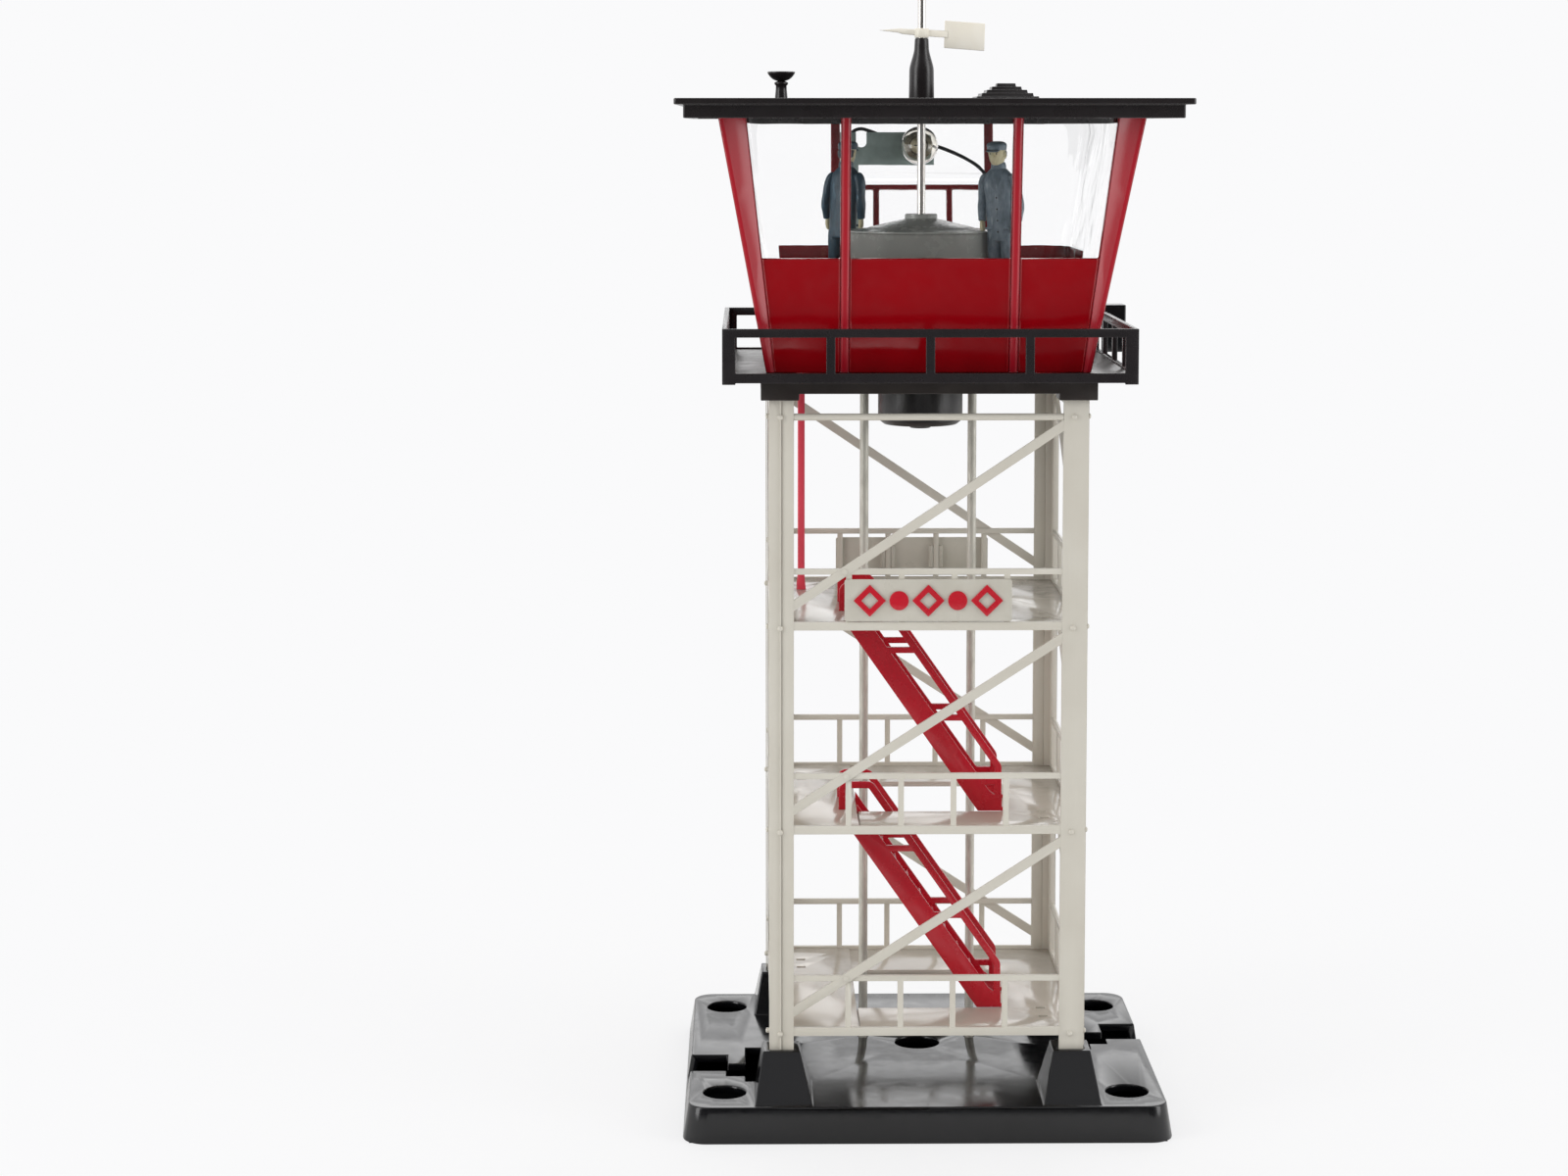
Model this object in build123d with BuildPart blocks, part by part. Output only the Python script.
"""Toy railway control tower: lattice tower, railed platform, glazed cab and a turning crew inside.

Millimetres, +Z up.  The origin is the middle of the base's underside, +X is to the right and +Y to
the rear.  Every piece is its own solid, and the pieces are written one by one to parts/.
"""

from build123d import *

import math
import os

os.makedirs("parts", exist_ok=True)

# ---------------------------------------------------------------- driving dimensions
# base moulding
base_foot_x, base_foot_y = 127.8, 108.4
base_top_x, base_top_y = 124.8, 105.8
base_height = 9.4
base_plate = 2.2
base_wall = 2.0
base_corner = 5.5
track_hole_x, track_hole_y, track_hole_r = 106.0, 79.4, 5.6
middle_hole_y, middle_hole_r = 4.6, 6.1
socket_top_z = 21.3
socket_depth = 4.0

# tower
tower_half = 41.25
leg_face = 6.4
leg_wall = 1.5
leg_foot_z = socket_top_z - socket_depth
leg_top_z = 195.4
seam = 3.3
beam_height = 2.2
floor_levels = (27.0, 80.8, 134.6)
top_bar_z = 188.0
rail_top = 13.9
bar = 1.5
floor_thickness = 1.4
floor_drop = 0.9
well_left, well_right = -17.7, 21.3
well_front, well_rear = -19.6, 17.8
fit = 0.1

# platform and cab
deck_bottom, deck_top = 197.2, 199.3
deck_half_x, deck_half_y = 52.0, 46.2
rail_frame = 1.3
tab_x, tab_w = 31.0, 6.0
frame_half = 43.4
cab_bottom_x, cab_bottom_y = 84.0, 79.6
cab_lean = 0.1855
cab_wall = 1.6
sill_z = 228.8
mullion_x = 21.8
roof_skirt_z, roof_step_z, roof_top_z = 264.8, 268.2, 269.8

# rotor
mast_r = 1.1
running = 0.05
bearing_r = mast_r + running
mast_foot_z, mast_top_z = 182.7, 306.0
turntable_z, turntable_r, turntable_t = 210.8, 31.0, 1.5
crew_radius, crew_turn = 24.5, -30.0
rod_x, rod_y, rod_r = 14.8, 10.0, 1.2


def box(x0, x1, y0, y1, z0, z1):
    """A plain block between six planes, for use inside a part's own block."""
    with Locations(((x0 + x1) / 2, (y0 + y1) / 2, (z0 + z1) / 2)):
        Box(x1 - x0, y1 - y0, z1 - z0)


def cut(x0, x1, y0, y1, z0, z1):
    """The same block taken away."""
    with Locations(((x0 + x1) / 2, (y0 + y1) / 2, (z0 + z1) / 2)):
        Box(x1 - x0, y1 - y0, z1 - z0, mode=Mode.SUBTRACT)


def disc(x, y, z0, z1, r, mode=Mode.ADD):
    """An upright cylinder between two heights."""
    with Locations((x, y, (z0 + z1) / 2)):
        Cylinder(r, z1 - z0, mode=mode)


def keep(part, label):
    """Name a finished piece and write it as its own file."""
    part.label = label
    export_step(part, f"parts/{label}.step")


# ---------------------------------------------------------------- base
# A hollow black moulding, open underneath.  Four tapered sockets stand on its top plate for the
# tower's legs, and a stepped notch at each side lets it key to a neighbour and pass the wires.
notch_left = (
    (-base_foot_x / 2 - 1, -52.4, -21.2, -7.0),
    (-52.6, -47.3, -25.9, -15.0),
    (-47.5, -43.1, -30.6, -0.5),
)
notch_shift = 28.0

with BuildPart() as base:
    with BuildSketch(Plane.XY):
        RectangleRounded(base_foot_x, base_foot_y, base_corner + 0.6)
    with BuildSketch(Plane.XY.offset(base_height)):
        RectangleRounded(base_top_x, base_top_y, base_corner)
    loft()
    fillet(base.faces().sort_by(Axis.Z)[-1].edges(), 0.5)
    inner = base_height - base_plate
    with BuildSketch(Plane.XY):
        RectangleRounded(base_foot_x - 2 * base_wall, base_foot_y - 2 * base_wall, base_corner - 1)
    with BuildSketch(Plane.XY.offset(inner)):
        RectangleRounded(base_top_x - 2 * base_wall, base_top_y - 2 * base_wall, base_corner - 1)
    loft(mode=Mode.SUBTRACT)
    for sx in (-1, 1):
        for sy in (-1, 1):
            with BuildSketch(Plane.XY.offset(base_height - 0.4)):
                with Locations((sx * 37.5, sy * 41.4)):
                    Rectangle(15.2, 22.0)
            with BuildSketch(Plane.XY.offset(socket_top_z)):
                with Locations((sx * 38.1, sy * 38.1)):
                    Rectangle(9.8, 9.8)
            loft()
    with BuildSketch(Plane.XY.offset(inner - 1)):
        with GridLocations(track_hole_x, track_hole_y, 2, 2):
            Circle(track_hole_r)
        with Locations((0, middle_hole_y)):
            Circle(middle_hole_r)
    extrude(amount=base_plate + 2, mode=Mode.SUBTRACT)
    for x0, x1, y0, y1 in notch_left:
        cut(x0, x1, y0, y1, 3.2, base_height + 1)
        cut(-x1, -x0, y0 + notch_shift, y1 + notch_shift, 3.2, base_height + 1)
    # L-shaped pockets that take the feet of the corner legs
    reach = tower_half + fit
    inside = tower_half - leg_wall - fit
    near = tower_half - leg_face - fit
    for sx in (-1, 1):
        for sy in (-1, 1):
            with BuildSketch(Plane.XY.offset(leg_foot_z - fit)):
                with BuildLine():
                    Polyline(
                        (sx * reach, sy * reach),
                        (sx * near, sy * reach),
                        (sx * near, sy * inside),
                        (sx * inside, sy * inside),
                        (sx * inside, sy * near),
                        (sx * reach, sy * near),
                        close=True,
                    )
                make_face()
            extrude(amount=socket_depth + 1, mode=Mode.SUBTRACT)
    # holes for the lower ends of the two rods
    for sx in (-1, 1):
        disc(sx * rod_x, rod_y, 5, base_height + 1, rod_r + 0.1, Mode.SUBTRACT)
keep(base.part, "base")

# Two brass strips under the top plate carry the current from the rear edge to the rods.
strip_top = base_height - base_plate
with BuildPart() as contact_strips:
    for sx in (-1, 1):
        box(sx * rod_x - 3, sx * rod_x + 3, rod_y - 6, 40.0, strip_top - 0.6, strip_top)
        disc(sx * rod_x, rod_y, 0, 12, rod_r + 0.1, Mode.SUBTRACT)
        disc(sx * rod_x, 36.0, 0, 12, 1.2, Mode.SUBTRACT)
keep(contact_strips.part, "contact_strips")

with BuildPart() as terminal_screws:
    for sx in (-1, 1):
        disc(sx * rod_x, 36.0, strip_top - 2.4, strip_top - 0.6, 2.6)
        disc(sx * rod_x, 36.0, strip_top - 0.7, strip_top, 1.1)
        cut(sx * rod_x - 3, sx * rod_x + 3, 35.7, 36.3, strip_top - 2.5, strip_top - 1.6)
keep(terminal_screws.part, "terminal_screws")

with BuildPart() as rod_nuts:
    with BuildSketch(Plane.XY.offset(strip_top - 2.6)):
        with Locations((-rod_x, rod_y), (rod_x, rod_y)):
            RegularPolygon(2.6, 6)
            Circle(rod_r + 0.05, mode=Mode.SUBTRACT)
    extrude(amount=2.0)
keep(rod_nuts.part, "rod_nuts")

# ---------------------------------------------------------------- lattice panels
# One moulding serves all four sides.  It has a full leg at its right end, which returns round the
# corner by half a leg, and a half leg at its left end, where the next panel's return meets it.
# Three floor beams, three hand rails on posts, a round tie at the top and three diagonal braces
# join the legs.
inner_edge = tower_half - leg_face
face = -tower_half
brace_rise_low, brace_rise_high = 4.3, 2.2
post_xs = (-20.55, -6.85, 6.85, 20.55)
brace_width = 2.4
bump_r = 0.75
rivet_x, rivet_side_y, rivet_drop = 37.6, 38.4, 1.6

with BuildPart() as panel:
    box(inner_edge, tower_half, face, face + leg_wall, leg_foot_z, leg_top_z)
    box(tower_half - leg_wall, tower_half, face, face + seam, leg_foot_z, leg_top_z)
    box(-tower_half + seam + 0.05, -inner_edge, face, face + leg_wall, leg_foot_z, leg_top_z)
    for level in floor_levels:
        box(-inner_edge, inner_edge, face + 0.15, face + leg_wall, level - beam_height, level)
        rail_foot = level + rail_top - bar
        box(-inner_edge, inner_edge, face + 0.35, face + 1.55, rail_foot, level + rail_top)
        for x in post_xs:
            box(x - bar / 2, x + bar / 2, face + 0.35, face + 1.4, level - 0.1, rail_foot + 0.1)
    with BuildSketch(Plane.YZ.offset(-inner_edge)):
        with Locations((face + 0.9, top_bar_z)):
            Circle(0.9)
    extrude(amount=2 * inner_edge)
    tops = (*(level - beam_height for level in floor_levels[1:]), top_bar_z)
    for level, top in zip(floor_levels, tops):
        low = (-inner_edge - 1, level + brace_rise_low - 0.67)
        high = (inner_edge + 1, top - brace_rise_high + 0.67)
        rise = math.degrees(math.atan2(high[1] - low[1], high[0] - low[0]))
        length = math.hypot(high[0] - low[0], high[1] - low[1])
        with BuildSketch(Plane.XZ.offset(-face - 1.1)):
            with Locations(((low[0] + high[0]) / 2, (low[1] + high[1]) / 2)):
                Rectangle(length, brace_width, rotation=rise)
        extrude(amount=1.0)
        # the moulded pin where the brace crosses the hand rail
        x = low[0] + (level + rail_top - bar / 2 - low[1]) * (high[0] - low[0]) / (high[1] - low[1])
        with BuildSketch(Plane.XZ.offset(-face - 0.2)):
            with Locations((x, level + rail_top - bar / 2)):
                Circle(bump_r)
        extrude(amount=0.45)
    # rivet heads on the legs
    for z in (*(level - rivet_drop for level in floor_levels), top_bar_z):
        with BuildSketch(Plane.XZ.offset(-face - 0.1)):
            with Locations((rivet_x, z)):
                Circle(bump_r)
        extrude(amount=0.55, taper=20)
        with BuildSketch(Plane.YZ.offset(tower_half - 0.1)):
            with Locations((-rivet_side_y, z)):
                Circle(bump_r)
        extrude(amount=0.55, taper=20)

for name, turn in (("front", 0), ("right", 90), ("rear", 180), ("left", 270)):
    keep(Rot(0, 0, turn) * panel.part, f"panel_{name}")

# ---------------------------------------------------------------- floors
# Each floor is one plate with a stair well.  The landing left of the well is thicker, and slots
# opposite each other take the foot of the ladder.  A groove carries the landing's edge on to the
# front of the plate.
landing_rise = 0.4
groove_w, groove_depth = 0.4, 0.6
floor_half = tower_half - leg_wall
ladder_x, ladder_y0, ladder_y1 = -31.9, 19.0, 28.4
for name, level in zip(("lower", "middle", "upper"), floor_levels):
    top = level - floor_drop
    with BuildPart() as floor:
        box(-floor_half, floor_half, -floor_half, floor_half, top - floor_thickness, top)
        box(-floor_half, well_left, -floor_half, floor_half, top - 0.1, top + landing_rise)
        cut(well_left, well_left + groove_w, -floor_half, well_front + 1, top - groove_depth, top + 1)
        cut(well_left, well_right, well_front, well_rear, top - 3, top + 3)
        for side in (-1, 1):
            for y in (ladder_y0 + 0.8, ladder_y1 - 0.8):
                with BuildSketch(Plane.XY.offset(top - 3)):
                    with Locations((-side * ladder_x, -side * y)):
                        Rectangle(2.4, 1.6)
                extrude(amount=6, mode=Mode.SUBTRACT)
    keep(floor.part, f"floor_{name}")

# ---------------------------------------------------------------- sign plates
# A grey plate clipped in front of the hand-rail posts, front and rear, with raised red motifs.
sign_w, sign_z0, sign_z1 = 43.4, 134.9, 145.8
motif_pitch = 7.6
sign_back = tower_half - 0.35
for name, turn in (("front", 0), ("rear", 180)):
    with BuildPart() as sign:
        box(-sign_w / 2, sign_w / 2, -sign_back - 0.8, -sign_back, sign_z0, sign_z1)
        fillet(sign.edges().filter_by(Axis.Y), 0.6)
        for x in post_xs[1:3]:
            box(x - 1.9, x - 0.85, -sign_back - 0.1, -sign_back + 1.0, 137.2, 143.5)
            box(x + 0.85, x + 1.9, -sign_back - 0.1, -sign_back + 1.0, 137.2, 143.5)
    keep(Rot(0, 0, turn) * sign.part, f"sign_{name}")

    with BuildPart() as motif:
        mid = (sign_z0 + sign_z1) / 2
        with BuildSketch(Plane.XZ.offset(sign_back + 0.8)):
            with Locations(*((motif_pitch * i, mid) for i in (-2, 0, 2))):
                RegularPolygon(4.2, 4, rotation=0)
                RegularPolygon(2.2, 4, rotation=0, mode=Mode.SUBTRACT)
            with Locations(*((motif_pitch * i, mid) for i in (-1, 1))):
                Circle(2.5)
        extrude(amount=0.6)
    keep(Rot(0, 0, turn) * motif.part, f"sign_motif_{name}")

# ---------------------------------------------------------------- stairs
# A red moulding for each flight: two stringers with treads between them, and a hand rail over each
# stringer on short brackets.  The rail turns level at the top and ends in a newel on the landing.
stair_slope = 55.0
lean = math.tan(math.radians(stair_slope))
stair_y = (well_front + 0.1, well_front + 16.0)
side_wall = 1.2
foot_x0, foot_x1 = 14.8, 21.2
stringer_width = 6.5
rail_bar = 1.8
newel_x, rail_rise = -21.6, 6.7
bracket_levels, bracket_height = (7.9, 25.3, 43.6), 1.6
treads = 10
for name, low, high in (("lower", *floor_levels[:2]), ("upper", *floor_levels[1:])):
    z0 = low - floor_drop
    z1 = high - floor_drop + landing_rise
    under = high - floor_drop - floor_thickness
    rise = high - low
    left_at_under = foot_x0 - (under - z0) / lean
    rail_x0, rail_z0 = 20.2, z0 + 12.1
    rail_z1 = z1 + rail_rise
    rail_x1 = rail_x0 - (rail_z1 - rail_z0) / lean
    with BuildPart() as stair:
        for y in stair_y:
            with BuildSketch(Plane.XZ.offset(-y)):
                with BuildLine():
                    Polyline(
                        (foot_x0, z0),
                        (foot_x1, z0),
                        (foot_x1, z0 + 3.9),
                        (foot_x1 - 1.8, z0 + 4.3),
                        (foot_x1 - 3.3, z0 + 5.4),
                        (well_left + 0.1, z0 + (foot_x0 + stringer_width - well_left - 0.1) * lean),
                        (well_left + 0.1, under - 0.05),
                        (left_at_under, under - 0.05),
                        close=True,
                    )
                make_face()
                with BuildLine():
                    FilletPolyline(
                        (rail_x0, z0 + 2.6),
                        (rail_x0, rail_z0),
                        (rail_x1, rail_z1),
                        (newel_x, rail_z1),
                        (newel_x, z1),
                        radius=1.6,
                    )
                trace(line_width=rail_bar)
                for h in bracket_levels:
                    x = foot_x0 + stringer_width - h / lean - 0.8
                    arm_end = min(rail_x0, rail_x0 - (z0 + h - rail_z0) / lean)
                    with Locations(((x + arm_end) / 2, z0 + h)):
                        Rectangle(arm_end - x, bracket_height)
            extrude(amount=-side_wall)
        for y in (stair_y[0], stair_y[1]):
            box(foot_x1 - 1.2, foot_x1 + 1.6, y, y + side_wall, z0, z0 + 1.0)
        for i in range(1, treads + 1):
            h = rise * i / (treads + 1)
            x = foot_x0 + stringer_width - h / lean
            box(x - 5.2, x - 0.6, stair_y[0], stair_y[1] + side_wall, z0 + h - 0.8, z0 + h)
        split(bisect_by=Plane.XY.offset(z0), keep=Keep.TOP)
    keep(stair.part, f"stair_{name}")

# ---------------------------------------------------------------- ladder
# A red ladder from the upper floor to the platform, edge on to the front.
ladder_foot = floor_levels[2] - floor_drop + landing_rise
ladder_head = deck_bottom - 0.05
ladder_rail, ladder_flare, flare_height = 1.8, 2.5, 3.4
with BuildPart() as ladder:
    for y in (ladder_y0 + 0.8, ladder_y1 - 0.8):
        half = ladder_rail / 2
        box(ladder_x - half, ladder_x + half, y - 0.7, y + 0.7, ladder_foot, ladder_head)
        box(ladder_x - 1.1, ladder_x + 1.1, y - 0.7, y + 0.7, ladder_foot - 1.5, ladder_foot + 0.1)
        with BuildSketch(Plane.XY.offset(ladder_foot)):
            with Locations((ladder_x, y)):
                Rectangle(ladder_flare, 2.2)
        with BuildSketch(Plane.XY.offset(ladder_foot + flare_height)):
            with Locations((ladder_x, y)):
                Rectangle(ladder_rail, 1.4)
        loft()
    count = 14
    for i in range(1, count + 1):
        z = ladder_foot + i * (ladder_head - ladder_foot) / (count + 1)
        with BuildSketch(Plane.XZ.offset(-ladder_y0 - 0.8)):
            with Locations((ladder_x, z)):
                Circle(0.5)
        extrude(amount=-(ladder_y1 - ladder_y0 - 1.6))
keep(ladder.part, "ladder")

# ---------------------------------------------------------------- rods
# Two galvanised rods tie the platform to the base and carry the current up to the coil and lamp.
for name, side in (("left", -1), ("right", 1)):
    with BuildPart() as rod:
        disc(side * rod_x, rod_y, 3.4, deck_top + 2.6, rod_r)
        chamfer(rod.edges().filter_by(GeomType.CIRCLE), 0.25)
    keep(rod.part, f"rod_{name}")
with BuildPart() as rod_terminals:
    with BuildSketch(Plane.XY.offset(deck_top)):
        with Locations((-rod_x, rod_y), (rod_x, rod_y)):
            RegularPolygon(2.6, 6)
            Circle(rod_r + 0.05, mode=Mode.SUBTRACT)
    extrude(amount=1.6)
keep(rod_terminals.part, "rod_terminals")

# ---------------------------------------------------------------- platform
# A black moulding: a deck plate on a square under-frame, with a socket block at each corner that
# takes the tops of the legs.
socket_bottom = 192.5
block_inner = 33.5
cup_screw_y = 14.8
with BuildPart() as platform:
    box(-deck_half_x, deck_half_x, -deck_half_y, deck_half_y, deck_bottom, deck_top)
    with BuildSketch(Plane.XY.offset(194.2)):
        RectangleRounded(2 * frame_half, 2 * frame_half, 0.6)
        Rectangle(2 * frame_half - 3.6, 2 * frame_half - 3.6, mode=Mode.SUBTRACT)
    extrude(amount=deck_bottom - 194.1)
    block = frame_half - block_inner
    with BuildSketch(Plane.XY.offset(socket_bottom)):
        with GridLocations(2 * frame_half - block, 2 * frame_half - block, 2, 2):
            Rectangle(block, block)
    extrude(amount=deck_bottom - socket_bottom + 0.1)
    for sx in (-1, 1):
        for sy in (-1, 1):
            with BuildSketch(Plane.XY.offset(socket_bottom)):
                with BuildLine():
                    Polyline(
                        (sx * reach, sy * reach),
                        (sx * near, sy * reach),
                        (sx * near, sy * inside),
                        (sx * inside, sy * inside),
                        (sx * inside, sy * near),
                        (sx * reach, sy * near),
                        close=True,
                    )
                make_face()
            extrude(amount=leg_top_z + fit - socket_bottom, mode=Mode.SUBTRACT)
        disc(sx * rod_x, rod_y, 196, 201, rod_r + 0.1, Mode.SUBTRACT)
    disc(0, 0, 196, 201, 4.0, Mode.SUBTRACT)
    for sy in (-1, 1):
        disc(0, sy * cup_screw_y, 196, 201, 0.8, Mode.SUBTRACT)
        for sx in (-1, 1):
            x = sx * tab_x
            y = sy * (cab_bottom_y / 2 - 1.3)
            cut(x - tab_w / 2 - 0.1, x + tab_w / 2 + 0.1, y - 0.75, y + 0.75, 196, 201)
    # pockets in the deck's edge for the railings' pegs
    for sy in (-1, 1):
        for x in (-38.0, 38.0):
            y = sy * deck_half_y
            cut(x - 1.6, x + 1.6, min(y, y - sy * 2.1), max(y, y - sy * 2.1), 197.7, 198.8)
    for sx in (-1, 1):
        for y in (-34.0, 34.0):
            x = sx * deck_half_x
            cut(min(x, x - sx * 2.1), max(x, x - sx * 2.1), y - 1.6, y + 1.6, 197.7, 198.8)
keep(platform.part, "platform")

# ---------------------------------------------------------------- railings
# Four clip-on railings.  The front and rear ones run past the corners and the side ones fit
# between them; each is pegged into the deck's edge.
rail_low, rail_high = 196.9, 211.2
outer_x = deck_half_x + rail_frame
corner_post, mid_post = 3.4, 2.3
rail_depth = 2.2


def railing(half, posts, peg_x):
    """A railing in its own frame: face on y = 0, standing forward to y = -rail_frame."""
    with BuildPart() as piece:
        box(-half, half, -rail_frame, 0, rail_high - rail_depth, rail_high)
        for sx in (-1, 1):
            x0, x1 = sorted((sx * half, sx * (half - corner_post)))
            box(x0, x1, -rail_frame, 0, rail_low, rail_high)
            box(sx * peg_x - 1.5, sx * peg_x + 1.5, -0.1, 2.0, 197.8, 198.7)
            box(sx * peg_x - 1.5, sx * peg_x + 1.5, -rail_frame, 0, 197.3, 199.2)
        box(-half, half, -rail_frame, 0, rail_low + 0.4, deck_top + 0.5)
        for x in posts:
            box(x - mid_post / 2, x + mid_post / 2, -rail_frame, 0, rail_low + 0.4, rail_high - 0.1)
    return piece.part


long_rail = railing(outer_x, (-25.5, 0, 25.5), 38.0)
short_rail = railing(deck_half_y - 0.05, (-23.0, 0, 23.0), 34.0)
keep(Pos(0, -deck_half_y, 0) * long_rail, "railing_front")
keep(Pos(0, deck_half_y, 0) * Rot(0, 0, 180) * long_rail, "railing_rear")
keep(Pos(deck_half_x, 0, 0) * Rot(0, 0, 90) * short_rail, "railing_right")
keep(Pos(-deck_half_x, 0, 0) * Rot(0, 0, -90) * short_rail, "railing_left")

# A small black box hooked on the outside of the right railing.
side_x = outer_x
with BuildPart() as side_box:
    box(side_x, side_x + 6.0, 30.0, 38.0, 199.6, 212.8)
    fillet(side_box.edges().filter_by(Axis.Z), 0.5)
    box(side_x - 1.6, side_x + 0.1, 31.5, 36.5, rail_high, 212.8)
keep(side_box.part, "side_box")

# ---------------------------------------------------------------- motor
# The vibrator motor hangs under the platform: a black cup with the coil inside, an armature plate
# on the deck and a ring of slanted rubber fingers that walks the turntable round.
cup_r, cup_floor, cup_foot = 11.45, 183.8, 182.4
with BuildPart() as motor_cup:
    with BuildSketch(Plane.XZ):
        with BuildLine():
            Polyline(
                (0, 181.3),
                (2.8, 181.3),
                (3.2, cup_foot),
                (cup_r - 1.6, cup_foot),
                (cup_r, cup_foot + 1.3),
                (cup_r, deck_bottom),
                (cup_r - 1.2, deck_bottom),
                (cup_r - 1.2, cup_floor),
                (1.18, cup_floor),
                (1.18, mast_foot_z),
                (0, mast_foot_z),
                close=True,
            )
        make_face()
    revolve(axis=Axis.Z)
    for sy in (-1, 1):
        with BuildSketch(Plane.XY.offset(195.7)):
            with Locations((0, sy * cup_screw_y)):
                SlotOverall(9.0, 5.2, rotation=90)
            Circle(cup_r - 0.6, mode=Mode.SUBTRACT)
            with Locations((0, sy * cup_screw_y)):
                Circle(0.8, mode=Mode.SUBTRACT)
        extrude(amount=deck_bottom - 195.7)
keep(motor_cup.part, "motor_cup")

with BuildPart() as cup_screws:
    for sy in (-1, 1):
        disc(0, sy * cup_screw_y, 194.6, 195.7, 1.9)
        disc(0, sy * cup_screw_y, 195.6, deck_top, 0.75)
        cut(-2.5, 2.5, sy * cup_screw_y - 0.25, sy * cup_screw_y + 0.25, 194.0, 195.0)
keep(cup_screws.part, "cup_screws")

with BuildPart() as coil_bobbin:
    disc(0, 0, cup_floor, 196.4, 3.9)
    for z in (cup_floor, 195.5):
        disc(0, 0, z, z + 0.9, 9.7)
    disc(0, 0, 180, 200, 3.1, Mode.SUBTRACT)
keep(coil_bobbin.part, "coil_bobbin")

with BuildPart() as coil_winding:
    disc(0, 0, cup_floor + 0.92, 195.48, 8.7)
    disc(0, 0, 180, 200, 3.92, Mode.SUBTRACT)
keep(coil_winding.part, "coil_winding")

with BuildPart() as core:
    disc(0, 0, cup_floor, 199.2, 3.05)
    disc(0, 0, 180, 202, bearing_r, Mode.SUBTRACT)
keep(core.part, "core")

plate_r = 11.8
with BuildPart() as armature_plate:
    disc(0, 0, deck_top, deck_top + 1.0, plate_r)
    disc(0, 0, 199, 202, 3.4, Mode.SUBTRACT)
    for angle in (45, 135, 225, 315):
        x = 8.0 * math.cos(math.radians(angle))
        y = 8.0 * math.sin(math.radians(angle))
        disc(x, y, 199, 202, 0.9, Mode.SUBTRACT)
keep(armature_plate.part, "armature_plate")

finger_count, finger_ring, finger_lean = 16, 7.2, 2.4
finger_base, finger_tip = deck_top + 1.0, turntable_z - 0.15
with BuildPart() as drive_fingers:
    with BuildSketch(Plane.XY.offset(finger_base)):
        Circle(finger_ring + 1.4)
        Circle(finger_ring - 1.4, mode=Mode.SUBTRACT)
    extrude(amount=1.6)
    for i in range(finger_count):
        turn = 2 * math.pi * i / finger_count
        out = Vector(math.cos(turn), math.sin(turn), 0)
        # each finger is a thin slanted blade, standing across the ring
        with BuildSketch(Plane(origin=out * finger_ring, x_dir=(-out.Y, out.X, 0), z_dir=out)):
            with BuildLine():
                Polyline(
                    (-0.6, finger_base + 1.5),
                    (0.6, finger_base + 1.5),
                    (finger_lean + 0.4, finger_tip),
                    (finger_lean - 0.4, finger_tip),
                    close=True,
                )
            make_face()
        extrude(amount=0.9, both=True)
keep(drive_fingers.part, "drive_fingers")

# ---------------------------------------------------------------- cab
# The red cab is one moulding.  Its four walls lean outward up to a sill; above the sill stand a
# wedge-shaped post at each front corner, two ribs in front and two behind, all running to the roof.
# The walls between the posts and ribs are recessed.
half_x, half_y = cab_bottom_x / 2, cab_bottom_y / 2
lean_angle = math.atan(cab_lean)
up_the_wall = 1 / math.cos(lean_angle)
recess = 0.6
post_foot_in, post_lean = 39.7, 0.113
rib = 2.6
side_return = 3.4


def at(z):
    """Distance up a leaning wall from the deck to height z."""
    return (z - deck_top) * up_the_wall


def wall_plane(way, half):
    """The outer face of one leaning wall, x along it and y up it; way is its outward direction."""
    out = Vector(*way, 0)
    tilt = Vector(out.X, out.Y, -cab_lean).normalized()
    return Plane(origin=(out.X * half, out.Y * half, deck_top), x_dir=(-out.Y, out.X, 0), z_dir=tilt)


def cab_size(z, inset):
    """The cab's outer width and depth at height z, taken in by an inset on every side."""
    grow = (z - deck_top) * cab_lean - inset
    return 2 * (half_x + grow), 2 * (half_y + grow)


front_wall, rear_wall = wall_plane((0, -1), half_y), wall_plane((0, 1), half_y)
left_wall, right_wall = wall_plane((-1, 0), half_x), wall_plane((1, 0), half_x)
skin = cab_wall + recess

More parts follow.
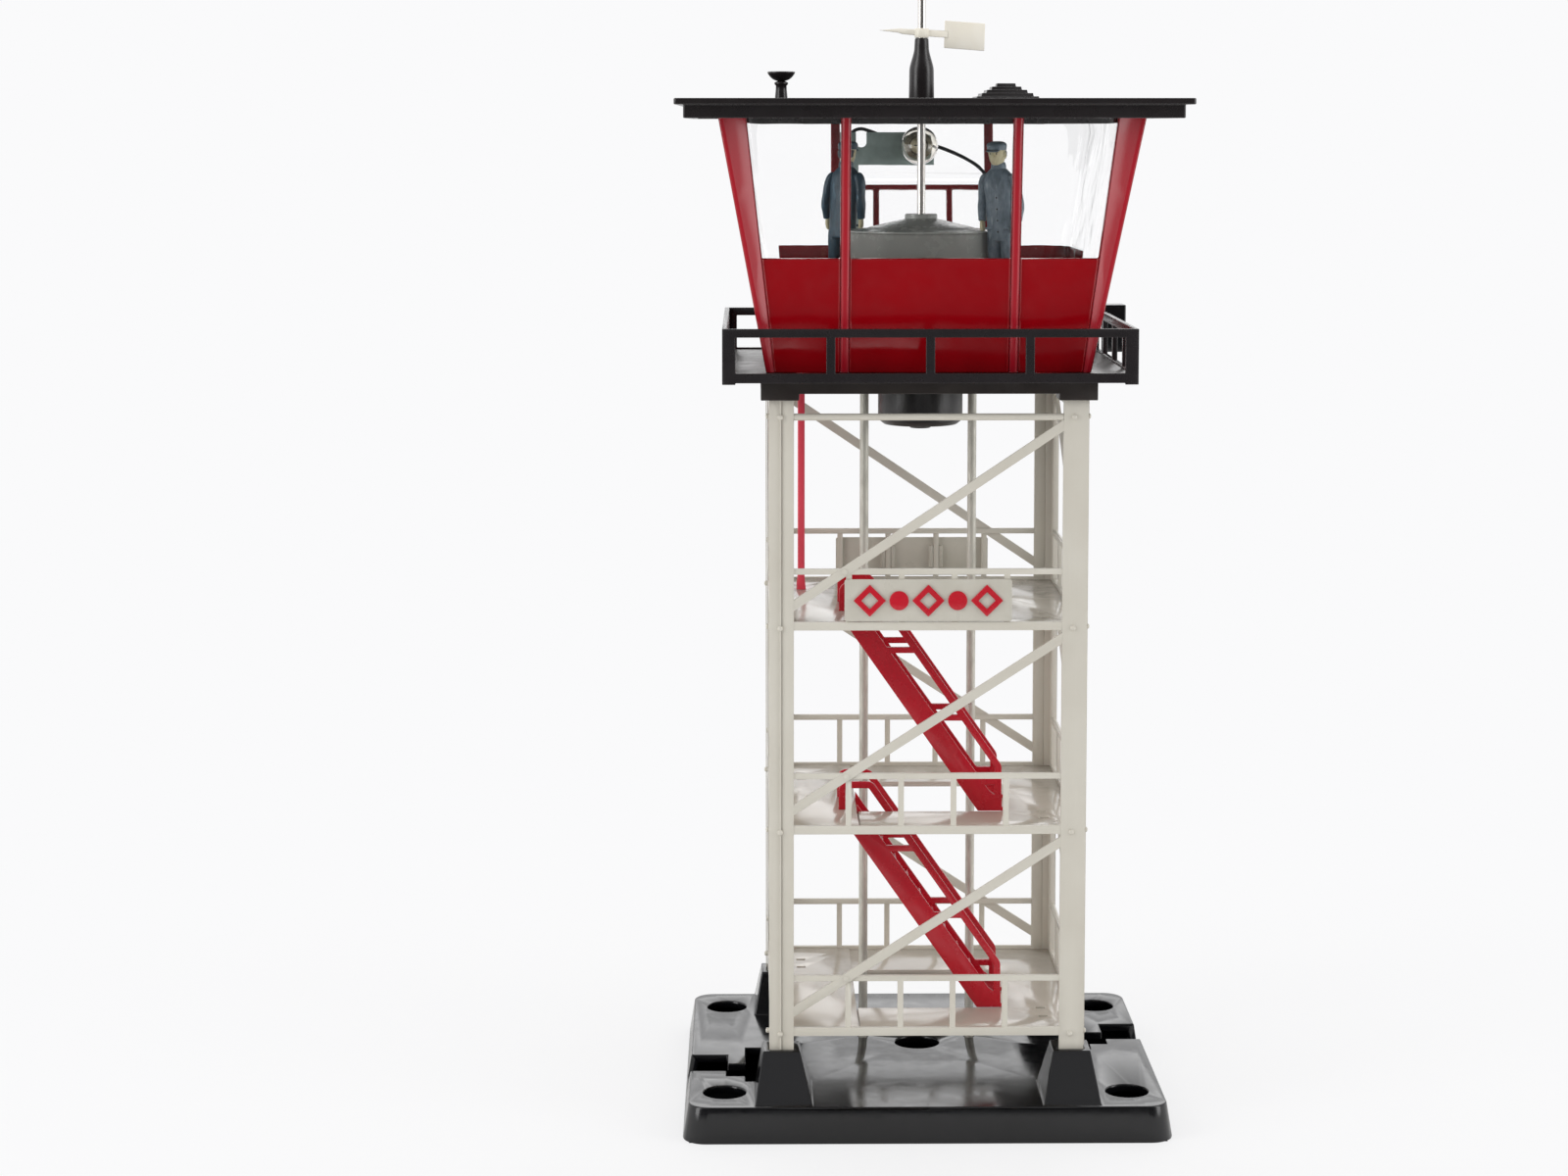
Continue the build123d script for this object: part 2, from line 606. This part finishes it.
with BuildPart() as cab:
    for z in (deck_top, roof_step_z - 0.02):
        with BuildSketch(Plane.XY.offset(z)):
            RectangleRounded(*cab_size(z, 0), 0.6)
    loft()
    for z in (deck_top - 1, roof_step_z + 1):
        with BuildSketch(Plane.XY.offset(z)):
            RectangleRounded(*cab_size(z, skin * up_the_wall), 1.5)
    loft(mode=Mode.SUBTRACT)
    sill, top = at(sill_z), at(roof_step_z) + 1
    rib_in, rib_out = mullion_x - rib / 2, mullion_x + rib / 2
    post_in_sill = post_foot_in + (sill_z - deck_top) * post_lean
    post_in_top = post_foot_in + (roof_step_z - deck_top) * post_lean
    # windows in front: one between the ribs and one at each side, up to the roof
    with BuildSketch(front_wall):
        with Locations((0, (sill + top) / 2)):
            Rectangle(2 * rib_in, top - sill)
        for s in (-1, 1):
            with BuildLine():
                Polyline(
                    (s * rib_out, sill),
                    (s * post_in_sill, sill),
                    (s * post_in_top, top),
                    (s * rib_out, top),
                    close=True,
                )
            make_face()
    extrude(amount=-skin - 1, mode=Mode.SUBTRACT)
    # windows behind: the corners are open, and a transom on two uprights closes the middle
    transom_0, transom_1 = at(244.5), at(245.9)
    with BuildSketch(rear_wall):
        for s in (-1, 1):
            with Locations((s * (rib_out + 70) / 2, (sill + top) / 2)):
                Rectangle(70 - rib_out, top - sill)
        with Locations((0, (transom_1 + top) / 2)):
            Rectangle(2 * rib_in, top - transom_1)
        for x0, x1 in ((-rib_in, -11.4), (-9.7, 9.4), (11.1, rib_in)):
            with Locations(((x0 + x1) / 2, (sill + transom_0) / 2)):
                Rectangle(x1 - x0, transom_0 - sill)
    extrude(amount=-skin - 1, mode=Mode.SUBTRACT)
    # side windows: open from the front post's return round to the rear wall
    for plane, s in ((left_wall, 1), (right_wall, -1)):
        with BuildSketch(plane):
            with BuildLine():
                Polyline(
                    (s * (half_y + (sill_z - deck_top) * cab_lean - side_return), sill),
                    (s * (half_y + (roof_step_z - deck_top) * cab_lean - side_return), top),
                    (-s * 70, top),
                    (-s * 70, sill),
                    close=True,
                )
            make_face()
        extrude(amount=-skin - 1, mode=Mode.SUBTRACT)
    # recessed panels of the lower walls
    foot = at(deck_top) - 1
    with BuildSketch(front_wall):
        with Locations((0, (foot + sill) / 2)):
            Rectangle(2 * rib_in, sill - foot)
        for s in (-1, 1):
            with BuildLine():
                Polyline(
                    (s * rib_out, foot),
                    (s * (post_foot_in - post_lean), foot),
                    (s * post_in_sill, sill),
                    (s * rib_out, sill),
                    close=True,
                )
            make_face()
    extrude(amount=-recess, mode=Mode.SUBTRACT)
    with BuildSketch(rear_wall):
        with Locations((0, (foot + sill) / 2)):
            Rectangle(2 * rib_in, sill - foot)
        for s in (-1, 1):
            with Locations((s * (rib_out + 70) / 2, (foot + sill) / 2)):
                Rectangle(70 - rib_out, sill - foot)
    extrude(amount=-recess, mode=Mode.SUBTRACT)
    for plane, s in ((left_wall, 1), (right_wall, -1)):
        with BuildSketch(plane):
            with BuildLine():
                Polyline(
                    (s * (half_y - side_return), foot),
                    (s * (half_y + (sill_z - deck_top) * cab_lean - side_return), sill),
                    (-s * 70, sill),
                    (-s * 70, foot),
                    close=True,
                )
            make_face()
        extrude(amount=-recess, mode=Mode.SUBTRACT)
    # tabs through the deck
    for sy in (-1, 1):
        for sx in (-1, 1):
            x = sx * tab_x
            y = sy * (half_y - 1.3)
            box(x - tab_w / 2, x + tab_w / 2, y - 0.65, y + 0.65, deck_bottom, deck_top + 0.6)
keep(cab.part, "cab_shell")

# A clear insert lines the cab from below the sill to the roof, with round corners and a moulded
# ledge across the rear pane.
glaze_gap, glaze_t, glaze_foot = 0.05, 1.0, 221.0
inset = (skin + glaze_gap) * up_the_wall
with BuildPart() as glazing:
    for z in (glaze_foot, roof_step_z - 0.02):
        with BuildSketch(Plane.XY.offset(z)):
            RectangleRounded(*cab_size(z, inset), 5.0)
    loft()
    for z in (glaze_foot - 1, roof_step_z + 1):
        with BuildSketch(Plane.XY.offset(z)):
            RectangleRounded(*cab_size(z, inset + glaze_t), 4.2)
    loft(mode=Mode.SUBTRACT)
    with BuildSketch(rear_wall):
        with Locations((0, at(248.0))):
            Rectangle(2 * rib_in, 2.0)
    extrude(amount=-inset - glaze_t - 0.6)
    with BuildSketch(rear_wall):
        Rectangle(200, 400)
    extrude(amount=-inset, mode=Mode.SUBTRACT)
keep(glazing.part, "glazing")

# ---------------------------------------------------------------- lamp
# A sheet-metal bracket, screwed to the deck inside the rear wall, carries a lamp holder and its
# round bulb behind the mast.
bracket_in, bracket_t = 5.6, 0.6
lamp_x, lamp_z = 1.4, 257.4
bracket_z0, bracket_z1 = 251.8, 261.0
notch_x, notch_r, notch_z = -14.6, 1.5, 258.2
strip_x0, strip_x1 = -20.6, -15.4
bracket_plane = rear_wall.offset(-bracket_in)
lamp_plane_y = bracket_plane.origin.Y + (lamp_z - bracket_plane.origin.Z) * cab_lean
shift = bracket_plane.origin.Z - deck_top


def up(z):
    """Distance up the bracket's plane to height z."""
    return (z - deck_top - shift) * up_the_wall


with BuildPart() as lamp_bracket:
    with BuildSketch(bracket_plane):
        # x runs to the left on this plane
        with BuildLine():
            Polyline(
                (-strip_x0, up(deck_top + 0.4)),
                (-strip_x0, up(bracket_z1)),
                (-lamp_x - 4.6, up(bracket_z1)),
                (-lamp_x - 4.6, up(bracket_z0)),
                (-strip_x1, up(bracket_z0)),
                (-strip_x1, up(deck_top + 0.4)),
                close=True,
            )
        make_face()
        with Locations((-notch_x, up(notch_z))):
            Circle(notch_r, mode=Mode.SUBTRACT)
        with Locations((-notch_x, up(notch_z + 3))):
            Rectangle(2 * notch_r, 6 * up_the_wall, mode=Mode.SUBTRACT)
        with Locations((-lamp_x, up(lamp_z))):
            Circle(3.6, mode=Mode.SUBTRACT)
    extrude(amount=-bracket_t)
    foot_y = bracket_plane.origin.Y
    box(strip_x0, strip_x1, foot_y - 9.0, foot_y + 0.1, deck_top, deck_top + 0.6)
    disc((strip_x0 + strip_x1) / 2, foot_y - 5.0, 199, 201, 1.0, Mode.SUBTRACT)
keep(lamp_bracket.part, "lamp_bracket")

bracket_screw_y = bracket_plane.origin.Y - 5.0
with BuildPart() as bracket_screw:
    disc((strip_x0 + strip_x1) / 2, bracket_screw_y, deck_top + 0.6, deck_top + 1.9, 1.9)
    disc((strip_x0 + strip_x1) / 2, bracket_screw_y, deck_top + 0.02, deck_top + 0.7, 0.9)
    cut(-25, -8, bracket_screw_y - 0.25, bracket_screw_y + 0.25, deck_top + 1.5, deck_top + 3)
keep(bracket_screw.part, "bracket_screw")

socket_rear, socket_front = lamp_plane_y + 0.9, lamp_plane_y - 4.4
with BuildPart() as lamp_socket:
    with BuildSketch(Plane.XZ.offset(-socket_rear)):
        with Locations((lamp_x, lamp_z)):
            Circle(3.45)
    extrude(amount=socket_rear - socket_front)
    with BuildSketch(Plane.XZ.offset(-socket_front)):
        with Locations((lamp_x, lamp_z)):
            Circle(4.3)
    extrude(amount=0.9)
    # a collar against the bracket's face, and the solder lug behind
    with BuildSketch(bracket_plane.offset(-bracket_t)):
        with Locations((-lamp_x, up(lamp_z))):
            Circle(4.7)
    extrude(amount=-0.6)
    box(lamp_x - 1.0, lamp_x + 1.0, socket_rear - 0.1, socket_rear + 1.15, lamp_z - 1.0, lamp_z + 1.0)
    with BuildSketch(Plane.XZ.offset(-socket_front - 3.4)):
        with Locations((lamp_x, lamp_z)):
            Circle(2.9)
    extrude(amount=5, mode=Mode.SUBTRACT)
keep(lamp_socket.part, "lamp_socket")

bulb_r = 5.3
bulb_y = socket_front - 0.9 - 4.6
with BuildPart() as lamp_bulb:
    with Locations((lamp_x, bulb_y, lamp_z)):
        Sphere(bulb_r)
    with BuildSketch(Plane.XZ.offset(-bulb_y)):
        with Locations((lamp_x, lamp_z)):
            Circle(2.85)
    extrude(amount=-(socket_front + 3.3 - bulb_y))
keep(lamp_bulb.part, "lamp_bulb")

# Two insulated leads run from the lug behind the lamp holder down to the rods' upper terminals.
lead_r = 0.5
behind = socket_rear + lead_r + 0.02
flat = 2.6 * math.cos(math.pi / 6)
lead_z = deck_top + 0.8
strip_gap = 0.25 + lead_r


def behind_strip(z):
    """The depth of a lead that runs down close behind the bracket's strip, at height z."""
    return bracket_plane.origin.Y + (z - bracket_plane.origin.Z) * cab_lean + strip_gap * up_the_wall


route_right = (
    (lamp_x + 1.02, behind, lamp_z),
    (6.4, behind, lamp_z),
    (13.0, behind - 0.9, 254.9),
    (19.8, behind - 2.1, 250.9),
    (25.6, behind - 4.2, 239.6),
    (27.2, behind - 6.6, 224.6),
    (25.9, behind - 9.6, 211.6),
    (21.4, 28.5, lead_z + 1.4),
    (rod_x, 20.8, lead_z),
    (rod_x, rod_y + flat + 0.02, lead_z),
)
route_left = (
    (lamp_x - 1.02, behind, lamp_z),
    (-3.6, behind, lamp_z),
    (-9.6, behind, 260.6),
    (-16.4, behind, 262.8),
    (-19.6, behind_strip(257.0), 257.0),
    (-18.0, behind_strip(246.0), 246.0),
    (-18.4, behind_strip(232.0), 232.0),
    (-21.4, behind_strip(220.0), 220.0),
    (-23.4, 33.0, 209.0),
    (-21.0, 25.6, lead_z + 2.6),
    (-rod_x, 19.6, lead_z),
    (-rod_x, rod_y + flat + 0.02, lead_z),
)


def lead(route):
    """A round lead on straight runs joined by arcs as large as the shorter run beside them allows."""
    points = [Vector(*p) for p in route]
    runs = [b - a for a, b in zip(points, points[1:])]
    radii = []
    for before, after in zip(runs, runs[1:]):
        turn = math.radians(before.get_angle(after))
        radii.append(0.45 * min(before.length, after.length) / math.tan(turn / 2))
    print("lead radii", [round(r, 1) for r in radii])
    with BuildPart() as piece:
        with BuildLine() as path:
            FilletPolyline(*points, radius=radii)
        wire = path.wire()
        with BuildSketch(Plane(origin=wire @ 0, z_dir=wire % 0)):
            Circle(lead_r)
        sweep()
    print("lead length", round(wire.length, 1), "volume", round(piece.part.volume, 1))
    print("section x length", round(wire.length * math.pi * lead_r**2, 1))
    return piece.part


keep(lead(route_right), "lamp_lead_right")
keep(lead(route_left), "lamp_lead_left")

# ---------------------------------------------------------------- roof
# A black flat roof: an overhanging plate with a deep skirt set back from its edge, and a rib
# underneath that locates it in the top of the cab.
roof_x, roof_y = 65.1, 62.9
skirt_x, skirt_y = 62.8, 60.6
rib_x = half_x + (264 - deck_top) * cab_lean - inset - glaze_t - 0.6
rib_y = half_y + (264 - deck_top) * cab_lean - inset - glaze_t - 0.6
boot_hole = 1.9
horn_x, vent_x = -37.7, 22.6
with BuildPart() as roof:
    with BuildSketch(Plane.XY.offset(roof_step_z)):
        RectangleRounded(2 * roof_x, 2 * roof_y, 0.8)
    extrude(amount=roof_top_z - roof_step_z)
    fillet(roof.faces().sort_by(Axis.Z)[-1].edges(), 0.35)
    with BuildSketch(Plane.XY.offset(roof_skirt_z)):
        RectangleRounded(2 * skirt_x, 2 * skirt_y, 0.6)
        Rectangle(2 * skirt_x - 3.6, 2 * skirt_y - 3.6, mode=Mode.SUBTRACT)
    extrude(amount=roof_step_z - roof_skirt_z)
    with BuildSketch(Plane.XY.offset(263.4)):
        RectangleRounded(2 * rib_x, 2 * rib_y, 4.2)
        RectangleRounded(2 * rib_x - 2.4, 2 * rib_y - 2.4, 3.0, mode=Mode.SUBTRACT)
    extrude(amount=roof_step_z - 263.4)
    disc(0, 0, 266, 272, boot_hole, Mode.SUBTRACT)
    disc(horn_x, 0, 266, 272, 1.1, Mode.SUBTRACT)
    for x in (vent_x - 4, vent_x + 4):
        disc(x, 0, 266, 272, 0.9, Mode.SUBTRACT)
keep(roof.part, "roof")

# the dish of the horn is part of a ball
dish_r, dish_deep = 3.2, 1.5
dish_ball = (dish_r**2 + dish_deep**2) / (2 * dish_deep)
dish_half = math.asin(dish_r / dish_ball) / 2
with BuildPart() as horn:
    with BuildSketch(Plane.XZ.offset(0)):
        with BuildLine():
            Polyline(
                (0, 263.7),
                (0.7, 263.7),
                (1.0, 264.2),
                (1.0, roof_top_z),
                (1.75, roof_top_z),
                (1.45, 273.6),
                (1.85, 273.9),
                (1.85, 274.5),
                (1.0, 274.8),
                (2.2, 275.3),
            )
            ThreePointArc((2.2, 275.3), (3.2, 276.2), (3.75, 277.1))
            Polyline((3.75, 277.1), (3.75, 277.4), (dish_r, 277.4))
            ThreePointArc(
                (dish_r, 277.4),
                (
                    dish_ball * math.sin(dish_half),
                    277.4 - dish_deep + dish_ball * (1 - math.cos(dish_half)),
                ),
                (0, 277.4 - dish_deep),
            )
            Line((0, 277.4 - dish_deep), (0, 263.7))
        make_face()
    revolve(axis=Axis.Z)
keep(Pos(horn_x, 0, 0) * horn.part, "roof_horn")

with BuildPart() as vent:
    width, z = 16.9, roof_top_z
    for i in range(5):
        with BuildSketch(Plane.XY.offset(z)):
            with Locations((vent_x, 0)):
                Rectangle(width, width)
        extrude(amount=0.9, taper=12)
        z += 0.88
        width -= 2.9
    for x in (vent_x - 4, vent_x + 4):
        disc(x, 0, roof_step_z, roof_top_z + 0.5, 0.85)
keep(vent.part, "roof_vent")

boot_z1, neck_z, boot_top = 277.6, 284.0, 286.3
with BuildPart() as boot:
    with BuildSketch(Plane.XZ):
        with BuildLine():
            Polyline(
                (bearing_r, 266.4),
                (boot_hole - 0.05, 266.4),
                (boot_hole - 0.05, roof_top_z),
                (3.4, roof_top_z),
                (3.3, boot_z1),
            )
            Spline((3.3, boot_z1), (2.55, 281.2), (1.95, neck_z), tangents=((0, 1), (0, 1)))
            Polyline(
                (1.95, neck_z),
                (1.85, boot_top - 0.3),
                (1.6, boot_top),
                (bearing_r, boot_top),
                (bearing_r, 266.4),
            )
        make_face()
    revolve(axis=Axis.Z)
keep(boot.part, "mast_boot")

# ---------------------------------------------------------------- rotor
# The mast, turntable, drum, two crewmen and the cup wheel on top all turn together on the mast,
# which stands on the floor of the motor cup and passes through the boot.
with BuildPart() as mast:
    disc(0, 0, mast_foot_z, mast_top_z, mast_r)
    chamfer(mast.edges().filter_by(GeomType.CIRCLE), 0.2)
keep(mast.part, "mast")

press = 0.01
with BuildPart() as hub:
    with BuildSketch(Plane.XZ):
        with BuildLine():
            Polyline(
                (mast_r + press, 202.6),
                (2.4, 202.6),
                (3.0, 203.2),
                (3.0, turntable_z - 1.2),
                (4.4, turntable_z - 1.2),
                (4.4, turntable_z),
                (2.6, turntable_z),
                (2.6, 222.0),
                (mast_r + press, 222.0),
                close=True,
            )
        make_face()
    revolve(axis=Axis.Z)
keep(hub.part, "turntable_hub")

figure_z = turntable_z + turntable_t
with BuildPart() as turntable:
    disc(0, 0, turntable_z, figure_z, turntable_r)
    fillet(turntable.edges().filter_by(GeomType.CIRCLE), 0.3)
    disc(0, 0, 205, 215, 2.62, Mode.SUBTRACT)
    for i in range(2):
        turn = math.radians(crew_turn + 180 * i)
        disc(crew_radius * math.cos(turn), crew_radius * math.sin(turn), 205, 215, 1.05, Mode.SUBTRACT)
keep(turntable.part, "turntable")

drum_r, drum_wall = 19.9, 1.1
with BuildPart() as drum:
    with BuildSketch(Plane.XZ):
        with BuildLine():
            Polyline(
                (drum_r, figure_z),
                (drum_r, 234.2),
                (drum_r + 0.4, 234.4),
                (drum_r + 0.4, 235.0),
                (14.2, 235.6),
                (4.35, 238.0),
                (4.35, 239.3),
                (mast_r + press, 239.3),
                (mast_r + press, 236.2),
                (4.0, 236.2),
                (14.0, 234.0),
                (drum_r - drum_wall, 233.4),
                (drum_r - drum_wall, figure_z),
                close=True,
            )
        make_face()
    revolve(axis=Axis.Z)
keep(drum.part, "drum")


crew_stoop, crew_height = 2.2, 46.0
jacket_half = {20.6: (3.6, 2.9), 29.0: (3.8, 2.7), 37.0: (4.6, 2.8)}


def stoop(z):
    """How far a crewman leans in towards the mast at height z, more and more towards his head."""
    return -crew_stoop * (z / crew_height) ** 2


def crewman():
    """A standing man, arms by his sides, in his own frame: feet at the origin, facing -Y."""
    with BuildPart() as man:
        for s in (-1, 1):
            # shoe, leg and arm
            with Locations((s * 1.9, -0.9, 0.7)):
                Box(2.9, 6.4, 1.4)
            with BuildSketch(Plane.XY.offset(1.3)):
                with Locations((s * 1.9, 0)):
                    RectangleRounded(3.0, 3.8, 1.0)
            with BuildSketch(Plane.XY.offset(22.0)):
                with Locations((s * 1.95 + stoop(22.0), 0)):
                    RectangleRounded(3.7, 5.0, 1.2)
            loft()
            with BuildSketch(Plane.XY.offset(25.4)):
                with Locations((s * 5.0 + stoop(25.4), -0.2)):
                    Ellipse(1.2, 1.6)
            with BuildSketch(Plane.XY.offset(37.6)):
                with Locations((s * 4.4 + stoop(37.6), 0)):
                    Ellipse(1.6, 2.0)
            loft()
            with Locations((s * 5.0 + stoop(25.4), -0.4, 24.6)):
                Sphere(1.35)
        # jacket
        for low, high in ((20.6, 29.0), (29.0, 37.0)):
            for z in (low, high):
                with BuildSketch(Plane.XY.offset(z)):
                    with Locations((stoop(z), 0)):
                        Ellipse(*jacket_half[z])
            loft()
        with BuildSketch(Plane.XY.offset(36.0)):
            with Locations((stoop(36.0), 0)):
                Ellipse(4.3, 2.6)
        with BuildSketch(Plane.XY.offset(39.6)):
            with Locations((stoop(39.6), 0)):
                Ellipse(2.0, 1.8)
        loft()
        # neck, head and cap
        with Locations((stoop(40.4), 0, 40.4)):
            Cylinder(1.5, 2.4)
        with Locations((stoop(43.2), -0.1, 43.2)):
            Sphere(2.6)
        with BuildSketch(Plane.XY.offset(44.0)):
            with Locations((stoop(44.0), 0)):
                Ellipse(2.6, 2.9)
        extrude(amount=2.7, taper=8)
        with BuildSketch(Plane.XY.offset(44.0)):
            with Locations((stoop(44.0), -2.6)):
                Ellipse(2.0, 1.6)
        extrude(amount=0.5)
        # peg under the feet
        with Locations((0, 0, -0.7)):
            Cylinder(1.0, 1.6)
    return man.part


man = crewman()
for name, turn in (("right", crew_turn), ("left", crew_turn + 180)):
    keep(Rot(0, 0, turn) * Pos(crew_radius, 0, figure_z) * man, f"crewman_{name}")

# The cup wheel: four half-round cups on arms, pressed on the mast's end.
cup_arm, cup_cup, wheel_z = 8.6, 3.2, 307.2
with BuildPart() as cup_wheel:
    disc(0, 0, wheel_z - 3.2, wheel_z + 1.6, 2.0)
    for i in range(4):
        turn = math.pi / 2 * i
        out = Vector(math.cos(turn), math.sin(turn), 0)
        with BuildSketch(Plane(origin=out * 1.0 + Vector(0, 0, wheel_z), z_dir=out)):
            Circle(0.6)
        extrude(amount=cup_arm - 1.0)
        cup_centre = out * cup_arm + Vector(0, 0, wheel_z)
        with BuildSketch(Plane(origin=cup_centre, x_dir=(-out.Y, out.X, 0), z_dir=(0, 0, 1))):
            with BuildLine():
                Line((0, cup_cup), (0, cup_cup - 0.6))
                ThreePointArc((0, cup_cup - 0.6), (cup_cup - 0.6, 0), (0, 0.6 - cup_cup))
                Line((0, 0.6 - cup_cup), (0, -cup_cup))
                ThreePointArc((0, -cup_cup), (cup_cup, 0), (0, cup_cup))
            make_face()
            Rectangle(20, 20, align=(Align.CENTER, Align.MAX), mode=Mode.SUBTRACT)
        revolve(axis=Axis(tuple(out * cup_arm + Vector(0, 0, wheel_z)), (-out.Y, out.X, 0)))
    disc(0, 0, 300, mast_top_z + press, mast_r + press, Mode.SUBTRACT)
keep(cup_wheel.part, "cup_wheel")

# ---------------------------------------------------------------- weather vane
# A cream arrow that swings freely on the mast, resting on the boot's top.
vane_z0, vane_z1 = boot_top + 0.1, 288.9
vane_bore = mast_r + running
with BuildPart() as vane:
    disc(0, 0, vane_z0, vane_z1, 1.9)
    with BuildSketch(Plane.XZ):
        with BuildLine():
            Polyline(
                (-1.2, 288.6),
                (-6.0, 288.9),
                (-11.4, 288.4),
                (-6.4, 287.8),
                (-5.2, 287.4),
                (-1.2, 287.0),
                close=True,
            )
        make_face()
        with BuildLine():
            Polyline((1.2, 288.6), (7.0, 288.2), (7.0, 286.4), (1.2, 286.8), close=True)
        make_face()
    extrude(amount=0.6, both=True)
    with BuildSketch(Plane.XZ):
        with BuildLine():
            Polyline((6.2, 291.0), (17.0, 290.2), (16.8, 282.9), (6.0, 283.7), close=True)
        make_face()
    extrude(amount=0.5, both=True)
    disc(0, 0, vane_z0 - 1, vane_z1 + 1, vane_bore, Mode.SUBTRACT)
keep(vane.part, "weather_vane")
